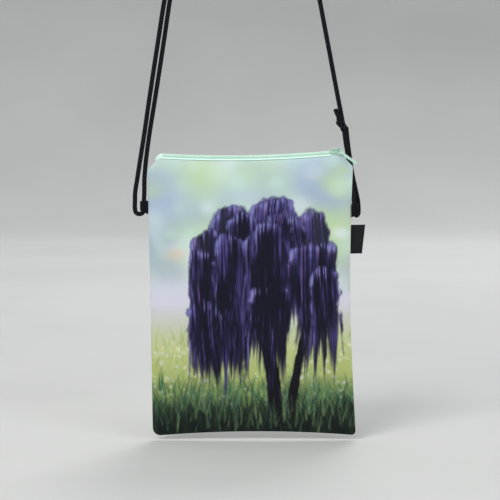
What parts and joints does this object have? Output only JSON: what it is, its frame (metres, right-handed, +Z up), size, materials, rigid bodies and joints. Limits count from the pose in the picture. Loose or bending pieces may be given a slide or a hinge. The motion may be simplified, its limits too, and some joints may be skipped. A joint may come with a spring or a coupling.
{
  "type": "zipped shoulder pouch hanging on a peg rail",
  "caption": "Flat zipped cloth pouch with a printed front, a folded side label and a knotted black cord strap, hung over the pegs of a short wooden rail.",
  "frame": {"origin": "middle of the rail's flat back face, which lies against the wall", "axes": "+Z up, front of the pouch towards -Y, wall towards +Y"},
  "size_m": [0.1935, 0.0623, 0.4178],
  "materials": {
    "printed_cloth": "smooth woven cloth with a soft printed meadow and tree",
    "back_cloth": "smooth woven cloth with the same soft print, no tree",
    "zip_tape": "pale mint herringbone tape",
    "zip_coil": "mint nylon coil",
    "zip_metal": "mint enamel, soft gloss",
    "cord": "black braided cord",
    "ribbon": "black woven ribbon",
    "beech": "oiled beech",
    "screw_steel": "satin"
  },
  "bodies": {
    "pouch": {"front_panel": "printed_cloth", "back_panel": "back_cloth", "side_label": "ribbon", "zip_tape_front": "zip_tape", "zip_tape_back": "zip_tape", "zip_coil": "zip_coil", "tab_left": "ribbon", "tab_right": "ribbon", "strap_top": "cord", "strap_left": "cord", "strap_right": "cord", "knot_left": "cord", "knot_right": "cord", "peg_rail": "beech", "peg_left": "beech", "peg_right": "beech", "screw_left": "screw_steel", "screw_right": "screw_steel"},
    "slider": {"zip_slider": "zip_metal"},
    "pull": {"zip_pull": "zip_metal"}
  },
  "joints": [
    {"name": "zip_travel", "type": "hinge", "parent": "pouch", "child": "slider", "pos_m": [-0.01237, -0.034, 0.78501], "axis": [0, 1, 0], "range_deg": [0, 8.2]},
    {"name": "pull_hinge", "type": "hinge", "parent": "slider", "child": "pull", "pos_m": [0.07855, -0.03603, -0.1563], "axis": [-0.6479, -0.551, -0.5259], "range_deg": [0, 130]}
  ]
}
